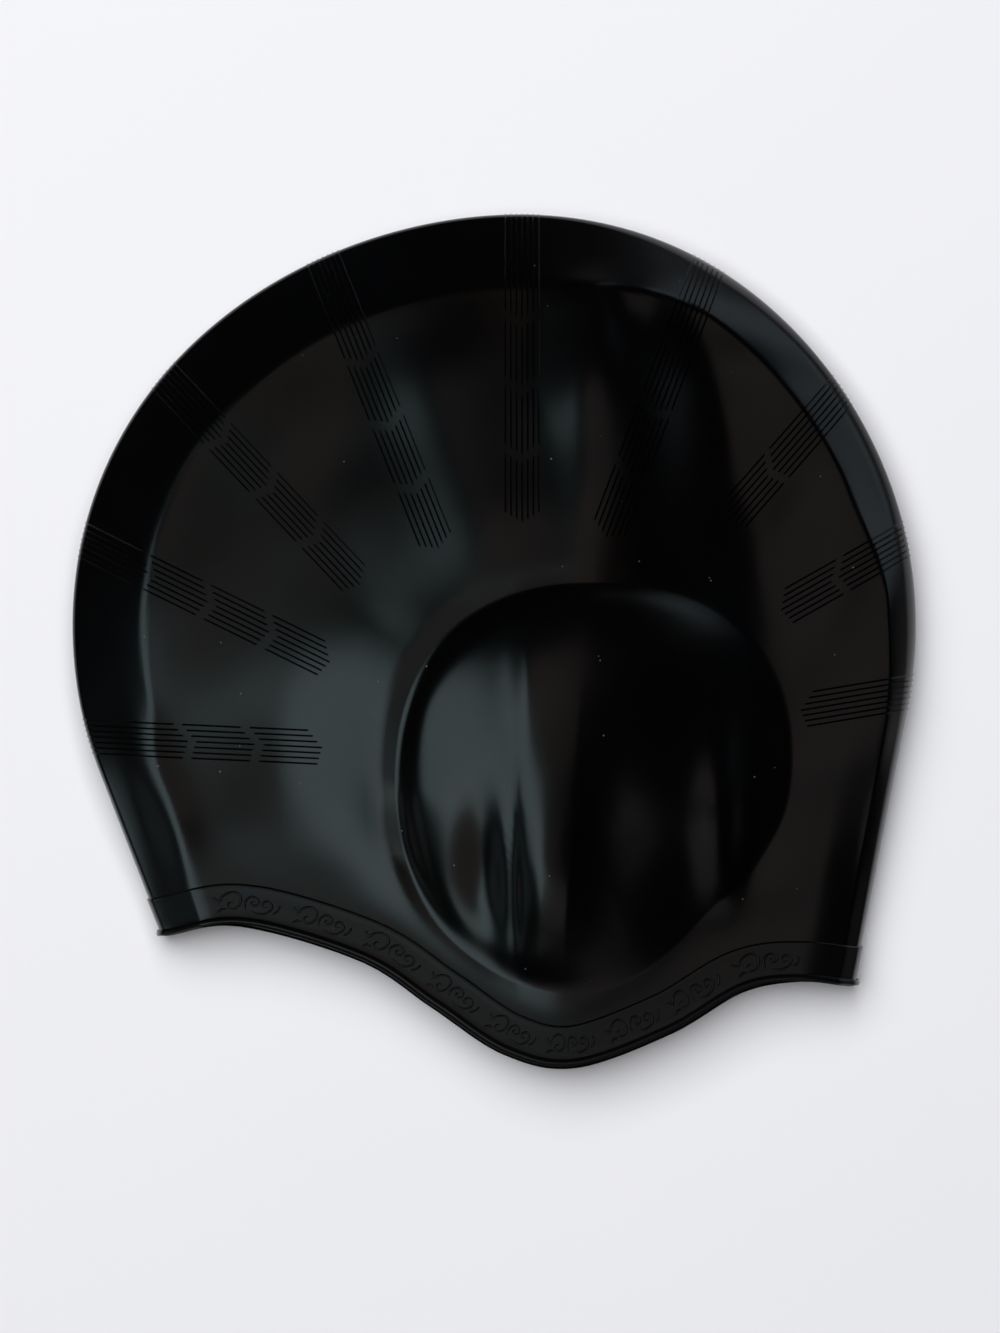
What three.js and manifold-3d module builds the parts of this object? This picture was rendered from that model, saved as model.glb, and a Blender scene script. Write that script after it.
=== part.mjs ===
// A one-piece moulded silicone swim cap with ear pockets, lying on its side as it does on a table.
// Millimetres. +X runs from the forehead side to the nape side, +Y from the hem to the crown and +Z up.
// The origin is on the table, under the middle of the cap's box.
//
// The cap is two sheets, an upper and a lower side, over one outline. They run into each other round the
// dome's rolled edge and stay open along the hem, where the head goes in. Each sheet is a height over the
// outline, worked out by upperHeight and lowerHeight, and the wall is that surface moved along its normal.

import * as THREE from "three";
import Module from "manifold-3d";
import { mergeVertices } from "three/addons/utils/BufferGeometryUtils.js";

// The outline, seen from above. Rises and drops are measured from the cap's widest line.
const capWidth = 230;
const domeRise = 111.9;
const crownShift = 6.8; // the crown's highest point lies this far behind the middle
const frontLean = 21; // degrees that the straight forehead side leans inwards
const backLean = 10.9; // degrees that the straight nape side leans inwards
const frontDrop = 84.4; // down to the forehead corner of the hem
const backDrop = 98; // down to the nape corner of the hem
const flapDrop = 120.9; // down to the tip of the ear flap

// The hem between its two corners. across is a share of half the cap's width, and down of flapDrop.
const hemCurve = [
  { across: 0.732, down: 0.804 },
  { across: 0.591, down: 0.829 },
  { across: 0.42, down: 0.923 },
  { across: 0.193, down: 1 },
  { across: 0.023, down: 0.97 },
  { across: -0.148, down: 0.864 },
  { across: -0.318, down: 0.759 },
  { across: -0.603, down: 0.68 },
];

// Thickness and heights above the table.
const wall = 1;
const crownHeight = 24.5; // top of the crown
const crownSwell = 2; // the crown's middle stands this far above the start of its rolled edge
const edgeHeight = { front: 10.5, back: 9 }; // outermost line of the rolled edge
const edgeRoll = { front: 20, back: 15 }; // how far the rolled edge reaches inwards
const edgeLip = 1.2; // the roll's outermost part, which turns down over this length
const hemHeight = 15.5; // top of the hem at its middle
const hemSlope = 95; // length over which the upper side rises from the hem to the crown
const hemRound = 17; // length over which the hem rises from its corners
const cornerHeight = 10; // top of the hem's folded corners
const cornerRoll = 5.5; // how far the roll reaches inwards at the corners
const cornerReach = 92; // length over which the edge changes from a corner to the full roll

// The raised band along the hem, and the raised rib blocks.
const bandWidth = 10.5;
const bandStep = 1.07; // the step down from the band ends at this share of its width
const reliefHeight = 0.6;

// The ear pocket: a dome that meets the side in a crease.
const pocketWidth = 107;
const pocketLength = 111;
const pocketBack = 26.5; // its middle lies this far behind the cap's middle
const pocketDrop = 45; // and this far below the widest line
const pocketRise = 6.5;
const grooveDepth = 1.4; // the crease's groove round the forehead half of the pocket
const grooveShare = 0.05; // half its breadth, as a share of the pocket's radius

// The mound that the pocket stands on. It falls away outside the crease, and across the cap to the nape side.
const moundRise = 5;
const moundReach = { plate: 0.6, crown: 1.5 }; // lengths outside the crease, in pocket radii
const moundBack = { start: 20, length: 44 };
const moundHem = 55; // length over which it rises from the hem band
const creaseDepth = 2.4; // the pressed-flat lower pocket's crease, up from the table

// The shoulder: a long slope down from the middle of the upper side to its nape side. It runs from the crown
// to the pocket between a top line and a foot line, which are placed by shares of half the width and of flapDrop.
const shoulderDrop = 5;
const shoulderByCrown = { down: -0.62, top: 0.32, foot: 0.51 };
const shoulderByPocket = { down: -0.08, top: 0.31, foot: 0.66 };

// The pocket's form, from the nape side round by the crown. reach is the crease's distance as a share of half
// the pocket's width and length, steep is higher where the wall stands up, and groove is 1 where there is one.
const pocketForm = [
  { towards: "nape", reach: 1, steep: 2.2, groove: 0 },
  { towards: "nape and crown", reach: 1.09, steep: 2.2, groove: 0 },
  { towards: "crown", reach: 1.02, steep: 5, groove: 0.5 },
  { towards: "forehead and crown", reach: 1.07, steep: 3.4, groove: 1 },
  { towards: "forehead", reach: 1, steep: 2.4, groove: 1 },
  { towards: "forehead and hem", reach: 1.02, steep: 2, groove: 1 },
  { towards: "hem", reach: 0.98, steep: 1.5, groove: 0.1 },
  { towards: "nape and hem", reach: 0.84, steep: 2, groove: 0 },
];

// Soft folds and dents of the upper side. across and down place the middle, as shares of half the width and
// of flapDrop. length, left and right are shares of half the width, turn is in degrees, and rise is a share
// of pocketRise. left and right are the breadths on both sides of the fold.
const folds = [
  { name: "crown ridge", across: 0.222, down: -0.542, length: 0.35, left: 0.075, right: 0.13, turn: 91, rise: 0.46 },
  { name: "crown dent", across: 0.27, down: -0.69, length: 0.12, left: 0.06, right: 0.06, turn: 98, rise: -0.3 },
  { name: "front ridge", across: -0.13, down: -0.41, length: 0.31, left: 0.087, right: 0.19, turn: 112, rise: 0.3 },
  { name: "pocket hollow", across: -0.02, down: 0.54, length: 0.17, left: 0.05, right: 0.04, turn: 94, rise: -0.34 },
  { name: "pocket ridge", across: 0.12, down: 0.6, length: 0.21, left: 0.05, right: 0.1, turn: 90, rise: 0.25 },
  { name: "pocket dimple", across: 0.26, down: 0.44, length: 0.19, left: 0.12, right: 0.12, turn: 90, rise: -0.4 },
  { name: "pocket lens", across: 0.6, down: 0.44, length: 0.17, left: 0.06, right: 0.05, turn: 90, rise: 0.25 },
];

// Rib blocks lie in rows that point at one hub. In each row one block goes over the rolled edge and reaches
// this far in from it on both sides, and the others follow it towards the hub. Angles are from the nape side.
const ribHubBack = 7.5;
const ribHubDrop = 35.7;
const ribRows = [
  { angle: 177.4, edgeReach: 28, blocks: 2 },
  { angle: 153.8, edgeReach: 21, blocks: 3 },
  { angle: 133.3, edgeReach: 24, blocks: 3 },
  { angle: 111.8, edgeReach: 31, blocks: 3 },
  { angle: 90, edgeReach: 29.5, blocks: 3 },
  { angle: 69.2, edgeReach: 25.5, blocks: 3 },
  { angle: 48.8, edgeReach: 29.5, blocks: 1 },
  { angle: 29.5, edgeReach: 22, blocks: 1 },
  { angle: 9.4, edgeReach: 31, blocks: 0 },
];
const blockWidth = 9.6;
const blockPitch = 18.6;
const blockGap = 2.2;
const chevronDepth = 2.4;

// How finely the curved surfaces are cut into flat faces.
const domeRays = 46;
const hemRays = 18;
const outlineSteps = 240;

const UPPER = 1;
const LOWER = -1;
const halfWidth = capWidth / 2;
const toRadians = THREE.MathUtils.degToRad;
const smooth = (share) => THREE.MathUtils.smoothstep(share, 0, 1);
const mix = THREE.MathUtils.lerp;
const point = (x, y) => new THREE.Vector2(x, y);

// The dome's edge from the forehead corner over the crown to the nape corner: a straight side, an arc, half
// an ellipse, an arc and a straight side.
function domeEdge() {
  const front = toRadians(frontLean);
  const back = toRadians(backLean);
  const sideEnd = (lean, drop) => halfWidth * Math.cos(lean) - (drop - halfWidth * Math.sin(lean)) * Math.tan(lean);
  const edge = new THREE.Path();
  edge.moveTo(-sideEnd(front, frontDrop), -frontDrop);
  edge.lineTo(-halfWidth * Math.cos(front), -halfWidth * Math.sin(front));
  edge.absarc(0, 0, halfWidth, Math.PI + front, Math.PI, true);
  edge.absellipse(0, 0, halfWidth, domeRise, Math.PI, 0, true);
  edge.absarc(0, 0, halfWidth, 0, -back, true);
  edge.lineTo(sideEnd(back, backDrop), -backDrop);
  return edge.getSpacedPoints(outlineSteps).map((p) => {
    const share = Math.max(p.y, 0) / domeRise;
    return point(p.x + crownShift * share ** 4, p.y);
  });
}

const edgeLine = domeEdge();
const frontCorner = edgeLine[0];
const backCorner = edgeLine[outlineSteps];

// The hem from the nape corner round the ear flap to the forehead corner.
const hemSpline = new THREE.SplineCurve([
  backCorner,
  ...hemCurve.map(({ across, down }) => point(across * halfWidth, -down * flapDrop)),
  frontCorner,
]);
hemSpline.arcLengthDivisions = outlineSteps;
const hemLine = hemSpline.getSpacedPoints(outlineSteps);

// How far a place is from a line of points, and how far along the line that nearest point lies.
function nearest(line, x, y) {
  let best = { distance: Infinity, along: 0 };
  let travelled = 0;
  for (let i = 1; i < line.length; i += 1) {
    const [a, b] = [line[i - 1], line[i]];
    const length = a.distanceTo(b);
    const share = ((x - a.x) * (b.x - a.x) + (y - a.y) * (b.y - a.y)) / (length * length);
    const t = THREE.MathUtils.clamp(share, 0, 1);
    const distance = Math.hypot(mix(a.x, b.x, t) - x, mix(a.y, b.y, t) - y);
    if (distance < best.distance) best = { distance, along: travelled + t * length };
    travelled += length;
  }
  return { ...best, total: travelled };
}

// What the rolled edge is like near a place: its distance, its height and reach there, and how much of it is
// a corner's round fold (0) or the dome's long slope (1).
function edgeAt(x, y) {
  const { distance, along, total } = nearest(edgeLine, x, y);
  const whole = smooth(Math.min(along, total - along) / cornerReach);
  const back = smooth((along / total - 0.56) / 0.12);
  return {
    distance,
    whole,
    height: mix(cornerHeight / 2, mix(edgeHeight.front, edgeHeight.back, back), whole),
    roll: mix(cornerRoll, mix(edgeRoll.front, edgeRoll.back, back), whole),
  };
}

// 0 at the edge's outermost line, 1 where the roll ends.
function rollShare({ distance, whole, roll }) {
  const left = 1 - Math.min(distance / roll, 1);
  const corner = Math.sqrt(1 - left ** 2);
  const slope = 1 - left ** 1.2;
  const lip = Math.sqrt(1 - (1 - Math.min(distance / edgeLip, 1)) ** 2);
  return mix(mix(corner, slope, whole), lip, mix(0.5, 0.1, whole));
}

const formCurve = new THREE.CatmullRomCurve3(
  pocketForm.map(({ reach, steep, groove }) => new THREE.Vector3(reach, steep, groove)),
  true,
  "catmullrom",
);

// Where a place lies from the pocket's middle: its bearing, the form there, and a radius that is 1 on the crease.
function pocketAt(x, y) {
  const offset = point((x - pocketBack) / (pocketWidth / 2), (y + pocketDrop) / (pocketLength / 2));
  const form = formCurve.getPoint(offset.angle() / (2 * Math.PI));
  return { radius: offset.length() / form.x, steep: form.y, groove: form.z, rise: Math.sin(offset.angle()) };
}

function foldRise(x, y) {
  return folds.reduce((sum, { across, down, length, left, right, turn, rise }) => {
    const offset = point(x - across * halfWidth, y + down * flapDrop).rotateAround(point(0, 0), -toRadians(turn));
    const along = offset.x / (length * halfWidth);
    const side = offset.y / ((offset.y > 0 ? left : right) * halfWidth);
    return sum + rise * pocketRise * Math.exp(-(along ** 2) - side ** 2);
  }, 0);
}

function shoulderStep(x, y) {
  const down = -y / flapDrop;
  const share = (down - shoulderByCrown.down) / (shoulderByPocket.down - shoulderByCrown.down);
  const top = mix(shoulderByCrown.top, shoulderByPocket.top, share) * halfWidth;
  const foot = mix(shoulderByCrown.foot, shoulderByPocket.foot, Math.min(share, 1.2)) * halfWidth;
  return -shoulderDrop * smooth((x - top) / (foot - top)) * smooth((share + 0.35) / 0.5);
}

function moundAt(x, fromHem, { radius, rise }) {
  const reach = mix(moundReach.plate, moundReach.crown, smooth((rise - 0.6) / 0.4));
  const outside = THREE.MathUtils.clamp((radius - 1) / reach, 0, 1);
  const back = 1 - smooth((x - moundBack.start) / moundBack.length);
  return moundRise * (1 - outside) ** 1.7 * back * smooth((fromHem - bandWidth) / moundHem);
}

function upperHeight(x, y) {
  const edge = edgeAt(x, y);
  const fromHem = nearest(hemLine, x, y).distance;
  const pocket = pocketAt(x, y);
  const hemTop = mix(cornerHeight, hemHeight, smooth(edge.distance / hemRound));
  const crown = crownHeight - crownSwell * (1 - smooth(edge.distance / halfWidth));
  const plate = mix(hemTop, crown + shoulderStep(x, y), smooth(fromHem / hemSlope));
  const offHem = smooth((fromHem - bandWidth) / (2 * bandWidth));
  const dome = pocketRise * Math.max(0, 1 - pocket.radius ** pocket.steep);
  const groove = grooveDepth * Math.exp(-(((pocket.radius - 0.98) / grooveShare) ** 2)) * pocket.groove * offHem;
  const soft = foldRise(x, y) * offHem * smooth((edge.distance - edge.roll / 3) / edge.roll);
  return mix(edge.height, plate + moundAt(x, fromHem, pocket) + dome - groove + soft, rollShare(edge));
}

// The lower side lies flat on its relief, with its pocket pressed flat onto the table inside its crease.
function lowerHeight(x, y) {
  const edge = edgeAt(x, y);
  const { radius } = pocketAt(x, y);
  const crease = creaseDepth * Math.max(0, 1 - Math.abs(radius - 0.92) / 0.12);
  const floor = reliefHeight * smooth((radius - 0.8) / 0.12) + crease;
  return mix(edge.height, floor, rollShare(edge));
}

const heightOf = (x, y, side) => (side === UPPER ? upperHeight(x, y) : lowerHeight(x, y));

// The direction out of the wall at a place on one side.
function outwards(x, y, side) {
  const step = 0.02;
  const slopeX = (heightOf(x + step, y, side) - heightOf(x - step, y, side)) / (2 * step);
  const slopeY = (heightOf(x, y + step, side) - heightOf(x, y - step, side)) / (2 * step);
  return new THREE.Vector3(-slopeX, -slopeY, 1).normalize().multiplyScalar(side);
}

// A point of one side, lifted off the moulded surface along its normal.
function onSide({ x, y }, side, lift) {
  return new THREE.Vector3(x, y, heightOf(x, y, side)).addScaledVector(outwards(x, y, side), lift);
}

// The place a distance along a line of points, and the line's heading there.
function placeAlong(line, distance) {
  let left = distance;
  for (let i = 1; i < line.length; i += 1) {
    const span = line[i].clone().sub(line[i - 1]);
    const length = span.length();
    if (left <= length || i === line.length - 1) {
      const place = line[i - 1].clone().addScaledVector(span, Math.min(left / length, 1));
      return { place, heading: span.normalize() };
    }
    left -= length;
  }
  return null;
}

// Both lines keep the cap on their right.
const inwards = (heading) => point(heading.y, -heading.x);

// A point of the rolled edge's outermost line, where both sides meet.
function onEdge({ place, heading }, lift) {
  const away = inwards(heading).multiplyScalar(-lift);
  return new THREE.Vector3(place.x + away.x, place.y + away.y, edgeAt(place.x, place.y).height);
}

// Places along a line: at the distances in ends from both its corners, and count more spread in between.
// nearness is 1 at a corner and 0 beyond cornerReach, and side is 1 for the line's first half and -1 after it.
function stationsOn(line, ends, count) {
  const length = nearest(line, 0, 0).total;
  const last = ends[ends.length - 1];
  const between = Array.from({ length: count }, (_, i) => mix(last, length - last, (i + 1) / (count + 1)));
  const back = ends.map((distance) => length - distance).reverse();
  return [...ends, ...between, ...back].map((distance) => ({
    ...placeAlong(line, distance),
    nearness: 1 - smooth(Math.min(distance, length - distance) / cornerReach),
    side: distance < length / 2 ? 1 : -1,
  }));
}

// A ray runs from the pocket's middle to one place of the outline. Its inset is the place that lies a distance
// in from the rolled edge, or in from the hem, and near a corner in from both.
function makeRays() {
  const dome = stationsOn(edgeLine, [0, bandWidth, bandWidth * bandStep], domeRays).map((station) => {
    const { place, heading, nearness, side } = station;
    const inset = (fromEdge, fromHem) =>
      place
        .clone()
        .addScaledVector(inwards(heading), fromEdge)
        .addScaledVector(heading, side * nearness * fromHem);
    return { ...station, kind: "dome", inset };
  });
  const rollStations = [30, 60, 90].map((angle) => cornerRoll * (1 - Math.cos(toRadians(angle))));
  const hem = stationsOn(hemLine, rollStations, hemRays).map((station) => {
    const { place, heading, nearness, side } = station;
    const corner = side > 0 ? dome[dome.length - 1] : dome[0];
    const up = corner.heading.clone().multiplyScalar(-side).lerp(inwards(heading), 1 - nearness);
    up.divideScalar(up.dot(inwards(heading)));
    const across = inwards(corner.heading).lerp(heading.clone().multiplyScalar(side), 1 - nearness);
    const inset = (fromEdge, fromHem) =>
      place.clone().addScaledVector(up, fromHem).addScaledVector(across, nearness * fromEdge);
    return { ...station, kind: "hem", inset };
  });
  return [...dome, ...hem];
}

const rays = makeRays();

// Bearings from the pocket's middle for a ring of places, clockwise, none closer to the next than least.
function bearingsOf(places, middle) {
  const least = (0.3 * 2 * Math.PI) / places.length;
  const lying = places.map((place) => place.clone().sub(middle).angle());
  const steps = lying.map((bearing, i) => {
    const step = lying[(i + places.length - 1) % places.length] - bearing;
    return Math.max(THREE.MathUtils.euclideanModulo(step + Math.PI, 2 * Math.PI) - Math.PI, least);
  });
  const scale = (2 * Math.PI) / steps.reduce((sum, step) => sum + step);
  let bearing = lying[0] + steps[0] * scale;
  return steps.map((step) => {
    bearing -= step * scale;
    return bearing;
  });
}

// Rings of places, from the pocket outwards. pocket lists shares of the pocket's radius, plate how many
// rings lie between it and the rolled edge, and rim the last rings: an angle of the roll and a share of the band.
// Inside the pocket's crease only every second ray goes on, and outside it each ray bends to meet the outline.
function ringsOf({ pocket, plate, rim }) {
  const middle = point(pocketBack, -pocketDrop);
  const insetOf = (ray, { roll, band }) => {
    const reach = ray.kind === "dome" ? edgeAt(ray.place.x, ray.place.y).roll : cornerRoll;
    return ray.inset(reach * (1 - Math.cos(toRadians(roll))), band * bandWidth);
  };
  const plateEnd = rays.map((ray) => insetOf(ray, rim[0]));
  const creasePlaces = bearingsOf(plateEnd, middle).map((bearing, i) => {
    const heading = point(Math.cos(bearing), Math.sin(bearing));
    const reach = 1 / pocketAt(middle.x + heading.x, middle.y + heading.y).radius;
    const room = pocketAt(plateEnd[i].x, plateEnd[i].y).radius;
    return heading.multiplyScalar(reach * Math.min(1, room / 1.2));
  });
  const pocketRings = pocket.map((share) =>
    creasePlaces
      .filter((_, i) => share >= 1 || i % 2 === 0)
      .map((place) => middle.clone().addScaledVector(place, share)),
  );
  const plateLines = pocketRings[pocketRings.length - 1].map((place, i) => {
    const end = plateEnd[i];
    const bend = end.clone().sub(rays[i].place).setLength(0.3 * end.distanceTo(place));
    return new THREE.QuadraticBezierCurve(place, bend.add(end), end);
  });
  const plateRings = Array.from({ length: plate }, (_, k) =>
    plateLines.map((line) => line.getPoint((k + 1) / (plate + 1))),
  );
  const rimRings = rim.map((row) => rays.map((ray) => insetOf(ray, row)));
  return { middle, rings: [...pocketRings, ...plateRings, ...rimRings] };
}

// The band's relief, with its step just outside bandWidth.
function bandRelief(x, y) {
  return nearest(hemLine, x, y).distance < (bandWidth * (1 + bandStep)) / 2 ? reliefHeight : 0;
}

// One side's surface as rings of points in space. The last ring meets the other side along the dome.
function sheetOf(layout, side, lift) {
  const { middle, rings } = ringsOf(layout);
  const raised = rings.map((ring, k) =>
    ring.map((place, i) => {
      const amount = lift ?? bandRelief(place.x, place.y);
      const outermost = k === rings.length - 1 && rays[i].kind === "dome";
      return outermost ? onEdge(rays[i], amount) : onSide(place, side, amount);
    }),
  );
  return { middle: onSide(middle, side, lift ?? 0), rings: raised };
}

// Triangles are collected as plain corners. flip turns them round.
function addTriangle(corners, a, b, c, flip) {
  corners.push(a, ...(flip ? [c, b] : [b, c]));
}

// The strip between two rings. The outer ring has as many points as the inner one, or twice as many.
function addStrip(corners, inner, outer, flip) {
  const step = outer.length / inner.length;
  inner.forEach((near, i) => {
    const nearNext = inner[(i + 1) % inner.length];
    const far = [0, 1, 2].map((k) => outer[(i * step + k) % outer.length]);
    addTriangle(corners, near, nearNext, far[step - 1], flip);
    addTriangle(corners, nearNext, far[step], far[step - 1], flip);
    if (step === 2) addTriangle(corners, near, far[1], far[0], flip);
  });
}

function addSheet(corners, { middle, rings }, flip) {
  rings[0].forEach((outer, i) => {
    addTriangle(corners, middle, rings[0][(i + 1) % rings[0].length], outer, flip);
  });
  for (let k = 1; k < rings.length; k += 1) addStrip(corners, rings[k - 1], rings[k], flip);
}

// The narrow rim of the hem, between the outside and the inside of one side.
function addHemRim(corners, outside, inside, flip) {
  const [outer, inner] = [outside, inside].map(({ rings }) => rings[rings.length - 1]);
  const backRay = rays.findIndex(({ kind }) => kind === "hem") - 1;
  for (let i = backRay; i < rays.length; i += 1) {
    const next = (i + 1) % rays.length;
    addTriangle(corners, outer[i], outer[next], inner[i], flip);
    addTriangle(corners, outer[next], inner[next], inner[i], flip);
  }
}

function solidOf(wasm, corners) {
  const soup = new THREE.BufferGeometry().setFromPoints(corners);
  const merged = mergeVertices(soup, 1e-4);
  return new wasm.Manifold(
    new wasm.Mesh({
      numProp: 3,
      vertProperties: merged.attributes.position.array,
      triVerts: new Uint32Array(merged.index.array),
    }),
  );
}

function shell(wasm) {
  const pocketRings = [0.15, 0.3, 0.42, 0.54, 0.66, 0.78, 0.9, 1, 1.1];
  const upperOutside = sheetOf(
    {
      pocket: pocketRings,
      plate: 6,
      rim: [
        { roll: 90, band: 1.3 },
        { roll: 66, band: bandStep },
        { roll: 46, band: 1 },
        { roll: 28, band: 0.6 },
        { roll: 13, band: 0.25 },
        { roll: 0, band: 0 },
      ],
    },
    UPPER,
  );
  const lowerOutside = sheetOf(
    {
      pocket: [0.4, 0.8, 0.92, 1.04],
      plate: 1,
      rim: [
        { roll: 90, band: 1.3 },
        { roll: 66, band: bandStep },
        { roll: 42, band: 1 },
        { roll: 20, band: 0.5 },
        { roll: 0, band: 0 },
      ],
    },
    LOWER,
  );
  const upperInside = sheetOf(
    {
      pocket: pocketRings,
      plate: 6,
      rim: [
        { roll: 90, band: 1.3 },
        { roll: 60, band: 1 },
        { roll: 30, band: 0.5 },
        { roll: 0, band: 0 },
      ],
    },
    UPPER,
    -wall,
  );
  const lowerInside = sheetOf(
    {
      pocket: [0.4, 0.8, 0.92, 1.04],
      plate: 0,
      rim: [
        { roll: 90, band: 1.3 },
        { roll: 60, band: 1 },
        { roll: 30, band: 0.5 },
        { roll: 0, band: 0 },
      ],
    },
    LOWER,
    -wall,
  );
  const corners = [];
  addSheet(corners, upperOutside, false);
  addSheet(corners, lowerOutside, true);
  addSheet(corners, upperInside, true);
  addSheet(corners, lowerInside, false);
  addHemRim(corners, upperOutside, upperInside, false);
  addHemRim(corners, lowerOutside, lowerInside, true);
  return solidOf(wasm, corners);
}

// Where a line from the hub leaves the outline, moved sideways by aside.
function edgeHit(row, aside) {
  const heading = point(Math.cos(toRadians(row.angle)), Math.sin(toRadians(row.angle)));
  const start = point(ribHubBack, -ribHubDrop).addScaledVector(inwards(heading), aside);
  let hit = start;
  for (let i = 1; i < edgeLine.length; i += 1) {
    const from = edgeLine[i - 1].clone().sub(start);
    const span = edgeLine[i].clone().sub(edgeLine[i - 1]);
    const scale = heading.cross(span);
    const t = -heading.cross(from) / scale;
    const reach = from.clone().addScaledVector(span, t).dot(heading);
    if (t >= 0 && t <= 1 && reach > 0) hit = start.clone().addScaledVector(heading, reach);
  }
  return { hit, heading };
}

// One rib block as a chevron-ended pad. stations are distances in from the edge, negative on the lower
// side, and the pad's middle line runs ahead of its sides by chevronDepth at both ends.
function ribPad(wasm, row, stations) {
  const across = [-0.5, 0, 0.5].map((share) => share * blockWidth);
  const place = (aside, station, lift) => {
    const { hit, heading } = edgeHit(row, aside);
    if (station === 0) {
      const away = point(heading.x, heading.y);
      const height = edgeAt(hit.x, hit.y).height;
      return new THREE.Vector3(hit.x + away.x * lift, hit.y + away.y * lift, height);
    }
    return onSide(hit.addScaledVector(heading, -Math.abs(station)), Math.sign(station), lift);
  };
  const tip = (station, k, column) => {
    const atEnd = k === 0 || k === stations.length - 1;
    return atEnd && column !== 1 ? station - Math.sign(station) * chevronDepth : station;
  };
  const layer = (lift) =>
    stations.map((station, k) => across.map((aside, column) => place(aside, tip(station, k, column), lift)));
  const [top, bottom] = [layer(reliefHeight), layer(-0.8 * wall)];
  const corners = [];
  const addQuad = (a, b, c, d) => {
    addTriangle(corners, a, b, c, false);
    addTriangle(corners, a, c, d, false);
  };
  for (let k = 1; k < stations.length; k += 1) {
    for (let column = 1; column < across.length; column += 1) {
      addQuad(top[k - 1][column - 1], top[k][column - 1], top[k][column], top[k - 1][column]);
      addQuad(bottom[k - 1][column - 1], bottom[k - 1][column], bottom[k][column], bottom[k][column - 1]);
    }
    addQuad(top[k - 1][0], bottom[k - 1][0], bottom[k][0], top[k][0]);
    addQuad(top[k - 1][2], top[k][2], bottom[k][2], bottom[k - 1][2]);
  }
  const last = stations.length - 1;
  for (let column = 1; column < across.length; column += 1) {
    addQuad(top[0][column - 1], top[0][column], bottom[0][column], bottom[0][column - 1]);
    addQuad(top[last][column - 1], bottom[last][column - 1], bottom[last][column], top[last][column]);
  }
  const made = solidOf(wasm, corners);
  if (made.volume() > 0) return made;
  const turned = [];
  for (let i = 0; i < corners.length; i += 3) addTriangle(turned, corners[i], corners[i + 1], corners[i + 2], true);
  return solidOf(wasm, turned);
}

function ribPads(wasm) {
  return ribRows.flatMap((row) => {
    const { hit } = edgeHit(row, 0);
    const { roll } = edgeAt(hit.x, hit.y);
    const rollStations = [13, 28, 46, 66, 90].map((angle) => roll * (1 - Math.cos(toRadians(angle))));
    const half = [...rollStations, row.edgeReach];
    const pads = [ribPad(wasm, row, [...half.map((station) => -station).reverse(), 0, ...half])];
    for (let block = 0; block < row.blocks; block += 1) {
      const start = row.edgeReach + blockGap + block * blockPitch;
      const end = start + blockPitch - blockGap;
      const stations = [start, (start + end) / 2, end];
      pads.push(ribPad(wasm, row, stations));
      pads.push(ribPad(wasm, row, stations.map((station) => -station)));
    }
    return pads;
  });
}

const silicone = new THREE.MeshStandardMaterial({ color: 0x141517, roughness: 0.42, metalness: 0 });

const wasm = await Module();
wasm.setup();
const moulded = ribPads(wasm).reduce((sum, pad) => sum.add(pad), shell(wasm));
const { numProp, vertProperties, triVerts } = moulded.getMesh();
const geometry = new THREE.BufferGeometry();
geometry.setAttribute("position", new THREE.BufferAttribute(vertProperties.slice(), numProp));
geometry.setIndex(new THREE.BufferAttribute(triVerts.slice(), 1));
geometry.computeBoundingBox();
const box = geometry.boundingBox;
geometry.translate(-(box.min.x + box.max.x) / 2, -(box.min.y + box.max.y) / 2, -box.min.z);
geometry.computeVertexNormals();

const cap = new THREE.Mesh(geometry, silicone);
cap.name = "cap_shell";
const group = new THREE.Group();
group.add(cap);

export default group;
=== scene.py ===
# %% [markdown]
# # A moulded silicone swim cap, lying on its side
#
# The cap is one thin skin of black silicone. It came out of its mould with a pocket for each ear, nine rows
# of fine ribs, and a thicker band round the hem. Here it lies on a table, with air still in it.
#
# The packed model gives the frame: its size, its place and what it weighs. This lesson dresses that frame
# with a finer skin, and every piece is made where the real one grows out of the rubber.

import math

import bmesh
import bpy
import numpy as np
from mathutils import Matrix, Vector


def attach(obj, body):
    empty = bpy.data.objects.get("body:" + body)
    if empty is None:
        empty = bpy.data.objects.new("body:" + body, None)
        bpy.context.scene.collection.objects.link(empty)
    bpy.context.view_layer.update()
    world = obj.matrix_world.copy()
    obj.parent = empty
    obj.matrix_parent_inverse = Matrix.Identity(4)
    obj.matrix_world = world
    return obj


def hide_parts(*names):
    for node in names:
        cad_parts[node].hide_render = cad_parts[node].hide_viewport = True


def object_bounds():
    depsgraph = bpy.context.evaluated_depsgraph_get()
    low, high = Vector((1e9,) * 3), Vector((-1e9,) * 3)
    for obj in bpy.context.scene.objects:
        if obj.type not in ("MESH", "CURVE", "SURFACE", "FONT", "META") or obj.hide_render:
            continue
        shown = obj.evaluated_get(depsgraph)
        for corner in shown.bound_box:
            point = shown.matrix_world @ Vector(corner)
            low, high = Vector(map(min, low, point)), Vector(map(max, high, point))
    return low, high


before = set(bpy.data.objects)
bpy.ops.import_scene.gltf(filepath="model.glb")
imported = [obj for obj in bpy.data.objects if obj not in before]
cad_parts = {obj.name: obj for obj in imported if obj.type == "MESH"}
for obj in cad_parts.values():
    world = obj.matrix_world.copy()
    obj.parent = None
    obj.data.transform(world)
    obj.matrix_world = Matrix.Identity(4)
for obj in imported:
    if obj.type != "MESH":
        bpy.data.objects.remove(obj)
frame_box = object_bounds()
MM = 0.001
frame_low, frame_high = (np.array(corner) / MM for corner in frame_box)
print("the frame spans", np.round(frame_high - frame_low, 1), "mm")

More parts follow.
